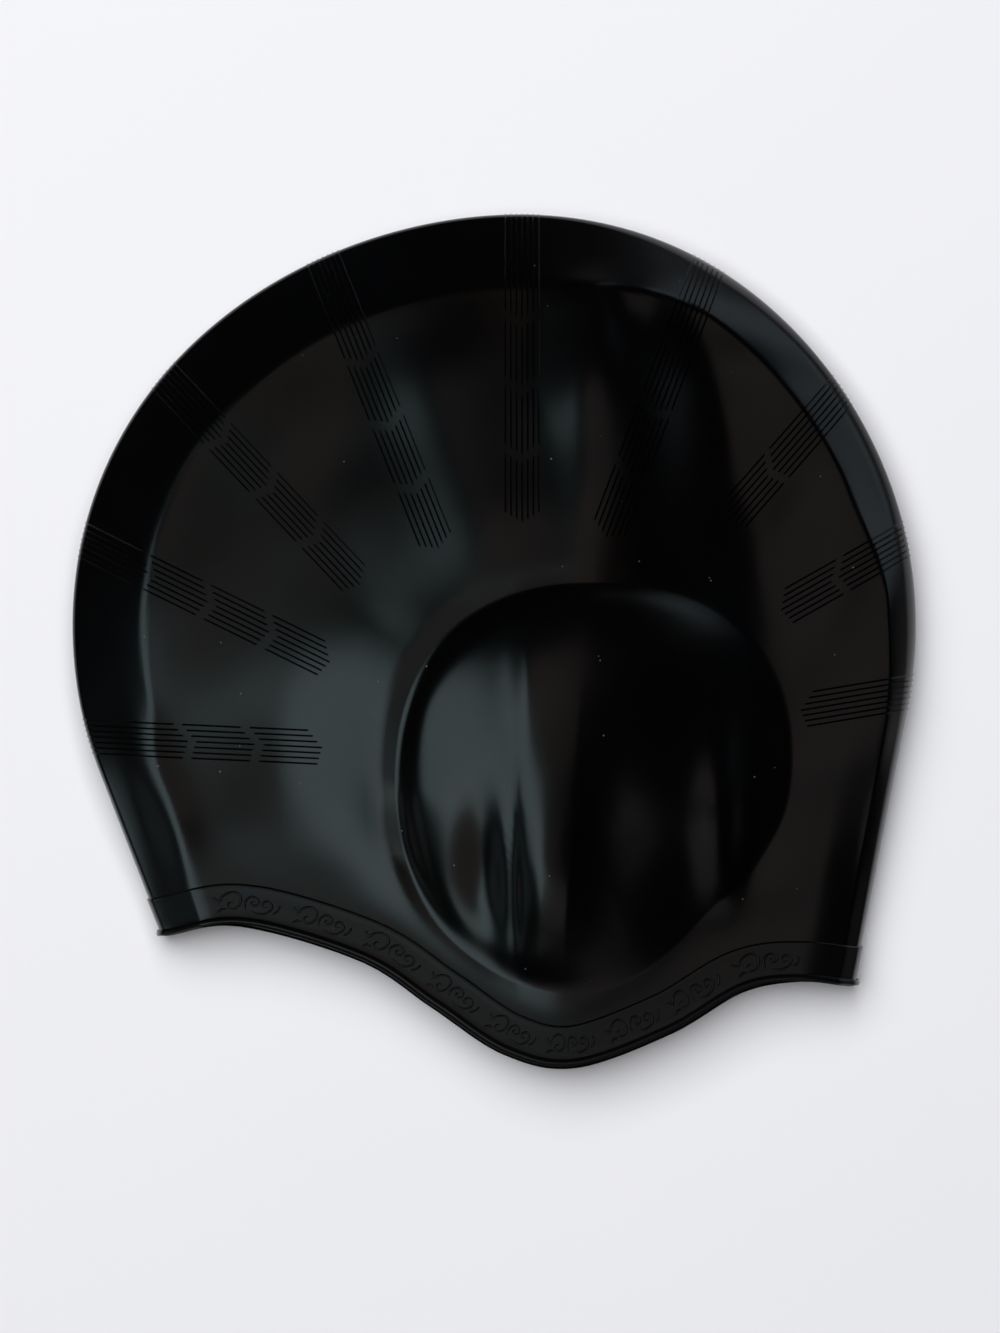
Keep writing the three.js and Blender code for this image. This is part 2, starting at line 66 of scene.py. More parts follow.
# %% [markdown]
# ## Where the camera stands
#
# The picture is taken from straight above. A long lens from one and a half metres keeps the far side of
# the rim as large as the near side, as the outline needs.

# %% Camera
PICTURE_HEIGHT = 1333
MM_PER_PIXEL = 0.2722
camera_height = 1.5
camera_data = bpy.data.cameras.new("camera")
camera_data.sensor_width = 36
camera_data.lens = 36 * camera_height / (PICTURE_HEIGHT * MM_PER_PIXEL * MM)
camera_data.clip_end = 60
camera = bpy.data.objects.new("camera", camera_data)
camera.location = (1.5 * MM, -6.8 * MM, camera_height + 12 * MM)
bpy.context.scene.collection.objects.link(camera)
bpy.context.scene.camera = camera
print("lens", round(camera_data.lens, 1), "mm")

# %% [markdown]
# ## The outline
#
# Seen from above, the cap is a dome over a wavy hem. The dome is half an ellipse that runs into two straight
# sides, and the hem dips round the ear flap. All lengths in this lesson are in millimetres until the very
# end, because a maker thinks of a cap in millimetres.

# %% Sizes of the outline
HALF_WIDTH = 115
DOME_RISE = 111.9
CROWN_SHIFT = 6.8
FRONT_LEAN, BACK_LEAN = math.radians(21), math.radians(10.9)
FRONT_DROP, BACK_DROP, FLAP_DROP = 84.4, 98, 120.9
HEM_PLACES = [(-0.603, 0.68), (-0.318, 0.759), (-0.148, 0.864), (0.023, 0.97), (0.193, 1), (0.42, 0.923),
              (0.591, 0.829), (0.732, 0.804)]
WIDEST_LINE = 4.5
HEM_SET_BACK = 1.7


def spread(line, count):
    """The same line of points, as so many equal steps."""
    steps = np.hypot(*np.diff(line, axis=0).T)
    along = np.concatenate([[0], np.cumsum(steps)])
    wanted = np.linspace(0, along[-1], count + 1)
    return np.stack([np.interp(wanted, along, line[:, axis]) for axis in (0, 1)], axis=1)


def dome_line(count):
    """The rolled edge, from the forehead corner over the crown to the nape corner."""

    def side_end(lean, drop):
        return HALF_WIDTH * math.cos(lean) - (drop - HALF_WIDTH * math.sin(lean)) * math.tan(lean)

    front = np.linspace(math.pi + FRONT_LEAN, math.pi, 60)
    over = np.linspace(math.pi, 0, 400)
    back = np.linspace(0, -BACK_LEAN, 30)
    front_end, back_end = side_end(FRONT_LEAN, FRONT_DROP), side_end(BACK_LEAN, BACK_DROP)
    across = HALF_WIDTH * np.cos(np.concatenate([front, over, back]))
    up = np.concatenate([HALF_WIDTH * np.sin(front), DOME_RISE * np.sin(over), HALF_WIDTH * np.sin(back)])
    x = np.concatenate([[-front_end], across, [back_end]])
    y = np.concatenate([[-FRONT_DROP], up, [-BACK_DROP]])
    x = x + CROWN_SHIFT * (np.maximum(y, 0) / DOME_RISE) ** 4
    return spread(np.stack([x, y + WIDEST_LINE], axis=1), count)


def between(a, b, c, d, t):
    """A smooth curve from b, where t is 0, to c, where t is 1. It knows its neighbours a and d."""
    straight = (c - a) * t
    bend = (2 * a - 5 * b + 4 * c - d) * t**2
    ease = (3 * b - a - 3 * c + d) * t**3
    return 0.5 * (2 * b + straight + bend + ease)


def smooth_through(places, count):
    """A smooth curve through the places, and through its two ends."""
    padded = np.concatenate([[2 * places[0] - places[1]], places, [2 * places[-1] - places[-2]]])
    pieces = []
    for a, b, c, d in zip(padded, padded[1:], padded[2:], padded[3:]):
        t = np.linspace(0, 1, 40, endpoint=False)[:, None]
        pieces.append(between(a, b, c, d, t))
    return spread(np.concatenate([*pieces, places[-1:]]), count)


dome_edge = dome_line(600)
hem_places = np.array([(HALF_WIDTH * across, WIDEST_LINE - FLAP_DROP * down) for across, down in HEM_PLACES])
hem_edge = smooth_through(np.concatenate([dome_edge[:1], hem_places, dome_edge[-1:]]), 500)
DOME_LENGTH = np.hypot(*np.diff(dome_edge, axis=0).T).sum()
HEM_LENGTH = np.hypot(*np.diff(hem_edge, axis=0).T).sum()
print("rolled edge", round(DOME_LENGTH), "mm long, hem", round(HEM_LENGTH), "mm along one side")

# %% [markdown]
# ## Measuring from a line
#
# Everything on a moulded cap is laid out from its two edges: the roll, the band and the fade of every fold
# start so many millimetres from an edge. A ruler for that is the distance to the nearest spot of a line. A
# maker could offset the outline many times instead, but offsets cross at the corners, and a distance doesn't.
# The upper hem lies a little behind the lower one, because the two lips of the opening never fall together.

# %% Distances from a line
CORNER_LENGTH = 30  # over this length from a corner, the upper hem leaves the lower one


def smooth(share):
    """Eases a share that runs from 0 to 1."""
    share = np.clip(share, 0, 1)
    return share * share * (3 - 2 * share)


def mix(a, b, share):
    """From a, where the share is 0, to b, where it is 1."""
    return a + (b - a) * share


def nearest_on(line, points):
    """How far each point is from a line, and how far along the line its nearest spot lies."""
    start, step = line[:-1], np.diff(line, axis=0)
    length = np.hypot(*step.T)
    travelled = np.concatenate([[0], np.cumsum(length)[:-1]])
    gaps, alongs = [], []
    for group in np.array_split(points, len(points) // 3000 + 1):
        offset = group[:, None, :] - start
        share = np.clip((offset * step).sum(axis=2) / length**2, 0, 1)
        away = offset - share[:, :, None] * step
        distance = np.hypot(away[:, :, 0], away[:, :, 1])
        best = distance.argmin(axis=1)
        rows = np.arange(len(group))
        gaps.append(distance[rows, best])
        alongs.append(travelled[best] + share[rows, best] * length[best])
    return np.concatenate(gaps), np.concatenate(alongs)


def inwards(line):
    """The direction from each point of a line into the cap, seen from above."""
    heading = np.gradient(line, axis=0)
    heading /= np.hypot(*heading.T)[:, None]
    return np.stack([heading[:, 1], -heading[:, 0]], axis=1)


hem_travelled = np.linspace(0, HEM_LENGTH, len(hem_edge))
near_corner = 1 - smooth(np.minimum(hem_travelled, HEM_LENGTH - hem_travelled) / CORNER_LENGTH)
upper_hem = hem_edge - inwards(hem_edge) * (HEM_SET_BACK * (1 - near_corner))[:, None]
print("the upper hem lies up to", HEM_SET_BACK, "mm behind the lower one")

# %% [markdown]
# ## The form of the upper side
#
# A soft cap lying with air in it is a cushion: a rolled edge, a broad plate, and the ear pocket on top. The
# form is one height over the plan, added up from parts that can be pointed at on the real cap. Each part is
# smooth, because rubber folds softly, and because gloss shows every kink.

# %% The ear pocket's crease
POCKET_MIDDLE = np.array([26.5, -45 + WIDEST_LINE])
POCKET_WIDTH, POCKET_LENGTH = 107, 111
POCKET_REACH = [1, 1.09, 1.02, 1.07, 1, 1.02, 0.98, 0.84]  # eight bearings, from the nape side by the crown


def all_round(values, bearing):
    """A smooth value at a bearing from the nape side, through values that are spread evenly all round."""
    place = np.mod(bearing, 2 * np.pi) / (2 * np.pi) * len(values)
    first = np.floor(place).astype(int)
    t = place - first
    a, b, c, d = (np.take(values, first + k, mode="wrap") for k in (-1, 0, 1, 2))
    return between(a, b, c, d, t)


def pocket_radius(points):
    """0 at the pocket's middle and 1 on its crease."""
    x, y = ((points - POCKET_MIDDLE) / (POCKET_WIDTH / 2, POCKET_LENGTH / 2)).T
    return np.hypot(x, y) / all_round(POCKET_REACH, np.arctan2(y, x))


print("ear pocket", POCKET_WIDTH, "by", POCKET_LENGTH, "mm, with its middle at", POCKET_MIDDLE)

# %% [markdown]
# ### The rolled edge
#
# Where the two sides meet, the rubber can't fold flat. It stands up in a roll: a narrow lip at the table and
# a long slope up to the plate, which ends in a soft knee. Over the crown the slope is 20 mm wide and shows
# as a black band. Towards the nape it gets steep and narrow. A bevel would be one width all round, so a
# short table gives the roll's form at nine places instead.

# %% The rolled edge
ROLLED_EDGE = [
    # share of the way from forehead to nape corner, height, reach, the lip's share of the height, the lip's
    # reach, and the slope's power, which is 1 for a straight slope with a sharp knee
    (0, 5, 12, 0.6, 1.5, 1.13),
    (0.07, 7.5, 16, 0.6, 1.5, 1.13),
    (0.125, 10.5, 20, 0.1, 1, 1.13),
    (0.5, 10.5, 20, 0.1, 1, 1.13),
    (0.62, 9, 13, 0.2, 3, 1.04),
    (0.74, 9, 12, 0.25, 4, 1.04),
    (0.81, 8.5, 8, 0.3, 3, 1.13),
    (0.88, 7.5, 5.5, 0.5, 2, 1.13),
    (1, 5, 5, 0.6, 1.5, 1.13),
]
EDGE_PLACES, *EDGE_VALUES = np.array(ROLLED_EDGE).T


def along_edge(values, share):
    """A value of the rolled edge at a share of its length, eased from one place to the next."""
    place = np.interp(share, EDGE_PLACES, np.arange(len(EDGE_PLACES)))
    first = np.minimum(place.astype(int), len(values) - 2)
    return mix(values[first], values[first + 1], smooth(place - first))


def edge_at(points):
    """What the rolled edge is like near each point: distance, height, reach, and share of the roll."""
    distance, along = nearest_on(dome_edge, points)
    place = along / DOME_LENGTH
    height, reach, lip, lip_reach, power = (along_edge(values, place) for values in EDGE_VALUES)
    slope = 1 - (1 - np.clip(distance / reach, 0, 1)) ** power
    turn = np.sqrt(1 - (1 - np.clip(distance / lip_reach, 0, 1)) ** 2)
    rolled = mix(slope, turn, lip)
    return distance, height, reach, rolled


print("the roll is", EDGE_VALUES[0].min(), "to", EDGE_VALUES[0].max(), "mm high and up to",
      EDGE_VALUES[1].max(), "mm wide")

# %% [markdown]
# ### Soft folds
#
# Air in the cap and its own weight leave long shallow folds: ridges that run from the crown to the pocket,
# and dents and a lens beside the pocket's nose. Gloss shows them as light and dark bands, though none is
# higher than 5 mm. A cloth simulation finds such folds by itself, but not at these places. Here each fold is
# a smooth bump with its own place, length and turn, and its two flanks may differ in breadth.

# %% Soft folds
FOLDS = {
    # name: (x, y, half length, breadth to the left, breadth to the right, turn in degrees, rise)
    "crown ridge": (27, 62, 46, 12.5, 20, 91, 4.8),
    "crown dent": (35, 88, 14, 6, 7, 98, -1.8),
    "front ridge": (-9, 56, 38, 15, 22, 110, 2.4),
    "pocket step": (9.5, -12, 24, 4.6, 24, 90, 1.5),
    "pocket hollow": (-2.5, -64, 20, 6.5, 6, 94, -3.0),
    "pocket groove": (5.3, -62, 24, 1.5, 1.5, 91, -1.0),
    "pocket ridge": (13, -68, 24, 5, 12, 90, 1.6),
    "pocket nose": (8, -87, 7, 6, 6, 0, 0.8),
    "pocket dimple": (30, -49, 22, 13, 14, 90, -3.0),
    "pocket lens": (62, -48, 22, 7, 5, 90, 3.0),
    "nape dent": (84, 37, 12, 8, 8, 60, -0.7),
    "nape bump": (92, 10, 12, 7, 7, 60, 0.5),
    "front fold": (-94, -46, 28, 7, 8, 112, 2.4),
}


def fold_rise(points):
    """What all the soft folds add up to at each point."""
    total = np.zeros(len(points))
    for x, y, length, left, right, turn, rise in FOLDS.values():
        angle = math.radians(turn)
        along = (points - (x, y)) @ (math.cos(angle), math.sin(angle)) / length
        across = (points - (x, y)) @ (-math.sin(angle), math.cos(angle))
        across = across / np.where(across > 0, left, right)
        total += rise * np.exp(-(along**2) - across**2)
    return total


fold_rises = [fold[-1] for fold in FOLDS.values()]
print(len(FOLDS), "folds, from", min(fold_rises), "to", max(fold_rises), "mm")

# %% [markdown]
# ### The shoulder
#
# The side towards the nape holds less air than the middle and has sunk a little. The plate goes down there in
# one long slope, narrow by the crown and broad by the pocket. It faces away from the window, so it is the
# black field beside the crown. It is worked out as a smooth step between two lines.

# %% The shoulder
SHOULDER_DROP = 5
SHOULDER_BY_CROWN = (79, 37, 59)  # y, and x of the slope's top and foot there
SHOULDER_BY_POCKET = (14, 36, 76)


def shoulder_step(points):
    """The long slope from the middle of the plate down to its nape side."""
    share = (points[:, 1] - SHOULDER_BY_CROWN[0]) / (SHOULDER_BY_POCKET[0] - SHOULDER_BY_CROWN[0])
    top = mix(SHOULDER_BY_CROWN[1], SHOULDER_BY_POCKET[1], share)
    foot = mix(SHOULDER_BY_CROWN[2], SHOULDER_BY_POCKET[2], np.minimum(share, 1.2))
    fade = smooth((share + 0.35) / 0.5)
    return -SHOULDER_DROP * smooth((points[:, 0] - top) / (foot - top)) * fade


print("the shoulder goes down", SHOULDER_DROP, "mm, from x", SHOULDER_BY_CROWN[1], "to", SHOULDER_BY_CROWN[2],
      "mm by the crown")

# %% [markdown]
# ### Ripples
#
# A cap that was folded in a bag never gets quite smooth again. Its surface wavers by a fifth of a millimetre
# over a few centimetres, and reflections in it waver with it. Noise would do, but a few crossing waves are
# smoother, and their heights and lengths can be read.

# %% Ripples
RIPPLES = [
    # wavelength, direction in degrees, phase and height
    (46, 20, 0.4, 0.16),
    (37, 95, 2.1, 0.13),
    (29, 150, 4.0, 0.10),
    (53, 64, 5.2, 0.16),
    (24, 118, 1.2, 0.06),
]


def ripple(points):
    """The faint unevenness of soft rubber that has been folded and worn."""
    total = np.zeros(len(points))
    for length, turn, phase, rise in RIPPLES:
        angle = math.radians(turn)
        total += rise * np.sin(points @ (math.cos(angle), math.sin(angle)) * 2 * np.pi / length + phase)
    return total


print("the ripples add up to", round(sum(wave[-1] for wave in RIPPLES), 2), "mm at most")

# %% [markdown]
# ### Adding up the upper side
#
# The plate swells from the hem to the crown. On it stands a low mound that holds up the ear pocket, and the
# pocket is a dome with a groove round its foot, where the rubber turns sharply. The folds fade out towards
# the hem band and the roll, which are too stiff to fold. Last, the roll takes over near the outline.

# %% Height of the upper side
CROWN_HEIGHT, CROWN_SWELL = 24.5, 2
HEM_HEIGHT, HEM_SLOPE = 15.5, 95
BAND_WIDTH = 10.5
CORNER_HEIGHT, CORNER_ROUND = 13.2, 16
MOUND_RISE, MOUND_POWER = 5, 1.7
MOUND_REACH, MOUND_CROWN_REACH = 0.6, 1.5  # in pocket radii from the crease: all round, and towards the crown
MOUND_BACK, MOUND_BACK_FADE = 14, 60  # where it starts to fade towards the nape, and over what length
MOUND_HEM_FADE = 38
POCKET_RISE = 6.5
DOME_POWER = [2.2, 1.8, 3.2, 3.3, 2.4, 2, 1.5, 2]  # eight bearings; the greater, the steeper at the crease
GROOVE_DEPTH, GROOVE_RADIUS, GROOVE_BREADTH = 1.8, 0.98, 0.06
GROOVED = [0, 0, 0.5, 1, 1, 1, 0.1, 0]  # eight bearings; 1 where the groove is at its full depth


def upper_height(points):
    """How high the upper side lies over each point of the plan."""
    distance, height, reach, rolled = edge_at(points)
    from_hem, _ = nearest_on(upper_hem, points)
    radius = pocket_radius(points)
    x, y = (points - POCKET_MIDDLE).T
    bearing = np.arctan2(y, x)
    hem_top = mix(CORNER_HEIGHT, HEM_HEIGHT, smooth(distance / CORNER_ROUND))
    crown = CROWN_HEIGHT - CROWN_SWELL * (1 - smooth(distance / HALF_WIDTH))
    plate = mix(hem_top, crown + shoulder_step(points), smooth(from_hem / HEM_SLOPE))
    off_hem = smooth((from_hem - BAND_WIDTH) / (2 * BAND_WIDTH))
    crownwards = smooth((np.sin(bearing) - 0.6) / 0.4)
    outside = np.clip((radius - 1) / mix(MOUND_REACH, MOUND_CROWN_REACH, crownwards), 0, 1)
    mound = MOUND_RISE * (1 - outside) ** MOUND_POWER
    mound = mound * (1 - smooth((points[:, 0] - MOUND_BACK) / MOUND_BACK_FADE))
    mound = mound * smooth((from_hem - BAND_WIDTH) / MOUND_HEM_FADE)
    power = all_round(DOME_POWER, bearing)
    dome = POCKET_RISE * np.maximum(0, 1 - radius**power)
    grooved = all_round(GROOVED, bearing)
    groove = -GROOVE_DEPTH * np.exp(-(((radius - GROOVE_RADIUS) / GROOVE_BREADTH) ** 2)) * off_hem * grooved
    soft = (fold_rise(points) + ripple(points)) * off_hem * smooth((distance - reach / 3) / reach)
    return mix(height, plate + mound + dome + groove + soft, rolled)


probe = np.array([[-60.0, 10.0], [17.8, -15.9], [80.0, 20.0]])
print("heights of plate, pocket top and nape side:", np.round(upper_height(probe), 1), "mm")

# %% [markdown]
# ## The form of the lower side
#
# The lower side lies on the table on its own ribs, and its ear pocket is pressed flat under the cap, with
# only a crease left. Nobody sees it in the picture, so it is finished plainly and truly: the same rim, the
# same ribs, the same band.

# %% Height of the lower side
RELIEF = 0.6  # the skin lies this high, on its ribs
BAND_ROOM = 0.9  # the hem lies this much higher, because its band and bead are under it
PRESSED_START, PRESSED_BREADTH = 0.8, 0.12  # in pocket radii: inside them, the pocket touches the table
CREASE_RISE, CREASE_RADIUS, CREASE_POWER = 2.4, 0.92, 1.3


def lower_height(points):
    """How high the lower side lies over each point of the plan."""
    _, height, _, rolled = edge_at(points)
    from_hem, _ = nearest_on(hem_edge, points)
    radius = pocket_radius(points)
    crease = CREASE_RISE * np.maximum(0, 1 - np.abs(radius - CREASE_RADIUS) / PRESSED_BREADTH) ** CREASE_POWER
    flat = RELIEF * smooth((radius - PRESSED_START) / PRESSED_BREADTH) + crease
    hem_lift = BAND_ROOM * (1 - smooth((from_hem - BAND_WIDTH) / BAND_WIDTH))
    return mix(height, flat + hem_lift, rolled)


HEIGHTS = {"upper": upper_height, "lower": lower_height}
print("heights under the same three places:", np.round(lower_height(probe), 1), "mm")

# %% [markdown]
# ## The skin
#
# A disc with its middle in the ear pocket suits this cap: its rings follow the pocket's crease, and its
# outermost ring is the outline. Spinning one spoke gives the disc, and then every point is moved to its
# place in one go. Upper and lower disc share the rolled edge, so merging doubles sews them together there
# and leaves the hem open for the head.

# %% Rays and rings
RAYS_DOME, RAYS_HEM = 190, 130
RINGS = {"upper": (36, 64), "lower": (14, 26)}  # inside the pocket's crease, and from there to the outline


def ray_ends(hem, dome_steps, hem_steps):
    """Where the spokes end: round the dome from the forehead corner, then back along the hem."""
    dome = spread(dome_edge, dome_steps)
    back = spread(hem[::-1], hem_steps)
    return np.concatenate([dome, back[1:-1]])


def steady_bearings(offset):
    """Bearings of the spokes where they cross the crease: clockwise, and none crowds its neighbour."""
    bearing = np.unwrap(np.arctan2(offset[:, 1], offset[:, 0]))
    steps = bearing - np.append(bearing[1:], bearing[0] - 2 * np.pi)
    steps = np.maximum(steps, 0.35 * 2 * np.pi / len(offset))
    steps *= 2 * np.pi / steps.sum()
    return bearing[0] - np.concatenate([[0], np.cumsum(steps[:-1])])


def ways_in(dome_steps, hem_steps):
    """The direction into the cap at every spoke's end. Beside a corner it turns into the hem's own one."""
    dome, back = inwards(spread(dome_edge, dome_steps)), inwards(spread(hem_edge[::-1], hem_steps))
    from_corner = np.linspace(0, DOME_LENGTH, dome_steps + 1)[:, None]
    dome = mix(back[-4], dome, smooth(from_corner / 60))
    dome = mix(back[4], dome, smooth((DOME_LENGTH - from_corner) / 60))
    ways = np.concatenate([dome, back[1:-1]])
    return ways / np.hypot(*ways.T)[:, None]


def disc_places(ends, ways, inner, outer):
    """Places on rings from the pocket's middle to the outline, one row for each ring. Every spoke bends a
    little before the outline, so that none runs along the hem."""
    bearing = steady_bearings(ends - POCKET_MIDDLE)
    heading = np.stack([np.cos(bearing), np.sin(bearing)], axis=1)
    reach = 1 / pocket_radius(POCKET_MIDDLE + heading)
    crease = POCKET_MIDDLE + heading * (reach * np.minimum(1, pocket_radius(ends) / 1.2))[:, None]
    share = np.linspace(0, 1, inner + 1)[1:]
    near = [mix(POCKET_MIDDLE, crease, ring) for ring in 1 - (1 - share) ** 1.15]
    bend = ends + ways * np.minimum(0.35 * np.hypot(*(ends - crease).T), 20)[:, None]
    far = []
    for left in np.linspace(1, 0, outer + 1)[1:]:
        left = 0.25 * left + 0.75 * left**1.5
        far.append(crease * left**2 + 2 * bend * left * (1 - left) + ends * (1 - left) ** 2)
    return np.array(near + far)


def spun_disc(rings, spokes):
    """A disc of so many rings and spokes, from one spoke that is spun once round."""
    disc = bmesh.new()
    spoke = [disc.verts.new((ring, 0, 0)) for ring in range(rings + 1)]
    edges = [disc.edges.new(pair) for pair in zip(spoke, spoke[1:])]
    bmesh.ops.spin(disc, geom=spoke + edges, cent=(0, 0, 0), axis=(0, 0, 1), angle=2 * math.pi, steps=spokes,
                   use_merge=True)
    bmesh.ops.remove_doubles(disc, verts=disc.verts, dist=1e-4)
    return disc


def move_all(mesh, places):
    """Puts every vertex of a mesh at its place, given in millimetres."""
    mesh.vertices.foreach_set("co", (places * MM).ravel().astype(np.float32))
    mesh.update()


def coordinates(mesh):
    """Where every vertex of a mesh is, in metres."""
    flat = np.empty(len(mesh.vertices) * 3, dtype=np.float32)
    mesh.vertices.foreach_get("co", flat)
    return flat.reshape(-1, 3).astype(float)


def side_sheet(name, inner, outer):
    """One side of the cap as a mesh: a spun disc laid over the outline at that side's height."""
    hem = upper_hem if name == "upper" else hem_edge
    ends = ray_ends(hem, RAYS_DOME, RAYS_HEM)
    places = disc_places(ends, ways_in(RAYS_DOME, RAYS_HEM), inner, outer)
    disc = spun_disc(inner + outer, len(ends))
    mesh = bpy.data.meshes.new(name)
    disc.to_mesh(mesh)
    disc.free()
    at = coordinates(mesh)
    ring = np.rint(np.hypot(at[:, 0], at[:, 1])).astype(int)
    turned = np.mod(-np.arctan2(at[:, 1], at[:, 0]), 2 * np.pi) / (2 * np.pi)
    spoke = np.rint(turned * len(ends)).astype(int) % len(ends)
    flat = np.where(ring[:, None] == 0, POCKET_MIDDLE, places[np.maximum(ring, 1) - 1, spoke])
    move_all(mesh, np.column_stack([flat, HEIGHTS[name](flat)]))
    return mesh


upper_mesh, lower_mesh = (side_sheet(name, *rings) for name, rings in RINGS.items())
print("upper side", len(upper_mesh.polygons), "faces, lower side", len(lower_mesh.polygons))

# %% [markdown]
# ### One skin, with a wall
#
# The mould makes the cap in one piece, so the two sides become one mesh. Merging doubles sews them along the
# roll, and the hem stays open. Silicone caps are 0.6 to 1 mm thick. The wall is added inwards, so that the
# outside keeps its form, and the rim of the wall closes the cut edge at the hem.

# %% Sew the two sides and give the wall its thickness
WALL = 0.9
SEAM = 0.006  # points closer than this are the same


def finished(mesh, name, soft=True):
    """A shown piece of the cap, made from a mesh that is already in its place."""
    piece = bpy.data.objects.new(name, mesh)
    bpy.context.scene.collection.objects.link(piece)
    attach(piece, "root")
    for face in mesh.polygons:
        face.use_smooth = soft
    return piece


skin = bmesh.new()
skin.from_mesh(upper_mesh)
skin.from_mesh(lower_mesh)
bmesh.ops.remove_doubles(skin, verts=skin.verts, dist=SEAM * MM)
bmesh.ops.recalc_face_normals(skin, faces=skin.faces)
top_face = max(skin.faces, key=lambda face: face.calc_center_median().z)
if top_face.normal.z < 0:
    bmesh.ops.reverse_faces(skin, faces=skin.faces)
skin_mesh = bpy.data.meshes.new("cap_skin")
skin.to_mesh(skin_mesh)
skin.free()
cap_skin = finished(skin_mesh, "cap_skin")
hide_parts("cap_shell")
thicken = cap_skin.modifiers.new("wall", "SOLIDIFY")
thicken.thickness = WALL * MM
thicken.offset = -1
thicken.use_rim = True
print("skin", len(skin_mesh.polygons), "faces before its wall")

# %% [markdown]
# ## The hem band
#
# The hem is thicker, so it doesn't tear when the cap is pulled on. A strip is laid along the hem from corner
# to corner and follows the surface at a small height. Its profile goes round the cut edge as a bead, runs
# flat across the band, and steps down to the skin.

# %% Strip along the hem
BAND_RISE = 0.5
BAND_PROFILE = [  # distance in from the hem, and height over the skin
    (1.5, -1.0), (0.6, -1.5), (0.0, -1.45), (-0.35, -1.1), (-0.5, -0.5), (-0.42, 0.15), (-0.1, 0.55),
    (0.4, 0.72), (0.95, 0.68), (1.35, 0.5), (1.9, 0.42), (3.2, 0.45), (4.8, 0.48), (6.4, 0.5), (8.0, 0.5),
    (9.3, 0.52), (10.0, 0.56), (10.35, 0.5), (10.52, 0.25), (10.6, -0.2),
]


def hem_frame(side, steps):
    """Places along a side's hem and the direction across the band there. It turns into the rolled edge's own
    direction at both corners."""
    hem = upper_hem if side == "upper" else hem_edge
    steps_along = np.linspace(0, 1, steps + 1)
    along = smooth(steps_along)
    lengths = np.concatenate([[0], np.cumsum(np.hypot(*np.diff(hem, axis=0).T))])
    wanted = along * lengths[-1]
    place = np.stack([np.interp(wanted, lengths, hem[:, axis]) for axis in (0, 1)], axis=1)
    across_line = -inwards(hem)
    across = np.stack([np.interp(wanted, lengths, across_line[:, axis]) for axis in (0, 1)], axis=1)
    front_up = dome_edge[6] - dome_edge[0]
    back_up = dome_edge[-7] - dome_edge[-1]
    for up, distance in ((front_up, wanted), (back_up, lengths[-1] - wanted)):
        up = up / np.hypot(*up)
        weight = (1 - smooth(distance / 16))[:, None]
        across = across * (1 - weight) + up * weight
    across /= np.hypot(*across.T)[:, None]
    return place, across, wanted


def surface_grid(side, plan):
    """Points on a side of the cap over a grid of plan places, and the direction out of the rubber there."""
    rows, columns, _ = plan.shape
    height = HEIGHTS[side](plan.reshape(-1, 2)).reshape(rows, columns)
    points = np.dstack([plan, height])
    out = np.cross(np.gradient(points, axis=0), np.gradient(points, axis=1))
    out /= np.maximum(np.linalg.norm(out, axis=2, keepdims=True), 1e-9)
    facing = 1 if side == "upper" else -1
    return points, out * np.sign(np.median(out[:, :, 2])) * facing


BAND_STEPS = 620
band_frames = {}
for band_side in ("upper", "lower"):
    place, across, along = hem_frame(band_side, BAND_STEPS)
    depths = np.array([depth for depth, _ in BAND_PROFILE])
    plan = place[:, None, :] + np.maximum(depths, 0)[None, :, None] * across[:, None, :]
    points, out = surface_grid(band_side, plan)
    beyond = np.minimum(depths, 0)[None, :, None] * across[:, None, :]
    points[:, :, :2] += beyond
    band_frames[band_side] = (points, out, along, depths)
print("band laid out,", BAND_STEPS, "steps along each side")

# %% [markdown]
# ### The band as one closed loop
#
# Each side's strip is a plain grid whose points are put on the skin. The strips of the two sides meet at both
# corners of the hem, and merging doubles makes one loop of them. A bevelled curve would twist on its way
# round the flap, while this strip always lies flat on the rubber.

# %% Band as one closed loop


def laid_grid(places):
    """A grid mesh whose rows and columns are put at the given places, in millimetres."""
    rows, columns, _ = places.shape
    grid = bmesh.new()
    bmesh.ops.create_grid(grid, x_segments=rows - 1, y_segments=columns - 1, size=0.5)
    mesh = bpy.data.meshes.new("grid")
    grid.to_mesh(mesh)
    grid.free()
    at = coordinates(mesh)
    row = np.rint((at[:, 0] + 0.5) * (rows - 1)).astype(int)
    column = np.rint((at[:, 1] + 0.5) * (columns - 1)).astype(int)
    move_all(mesh, places[row, column])
    return mesh


def joined(meshes, name, merge=0.02):
    """Several meshes as one, with the points that meet merged and all faces outwards."""
    whole = bmesh.new()
    for mesh in meshes:
        whole.from_mesh(mesh)
    bmesh.ops.remove_doubles(whole, verts=whole.verts, dist=merge * MM)
    bmesh.ops.recalc_face_normals(whole, faces=whole.faces)
    result = bpy.data.meshes.new(name)
    whole.to_mesh(result)
    whole.free()
    return result


lifts = np.array([lift for _, lift in BAND_PROFILE]) * BAND_RISE / 0.5
band_meshes = [laid_grid(points + out * lifts[None, :, None]) for points, out, _, _ in band_frames.values()]
hem_band = finished(joined(band_meshes, "hem_band"), "hem_band")
print("hem band", len(hem_band.data.polygons), "faces")

# %% [markdown]
# ## The ribs
#
# Nine rows of fine ridges point at a spot below the ear pocket's middle. A block is seven ridges with arrow
# ends. The outermost block of each row runs over the rolled edge and down the other side, which helps the
# hand to grip the cap. Every ridge is a thin sharp bar that follows the skin.

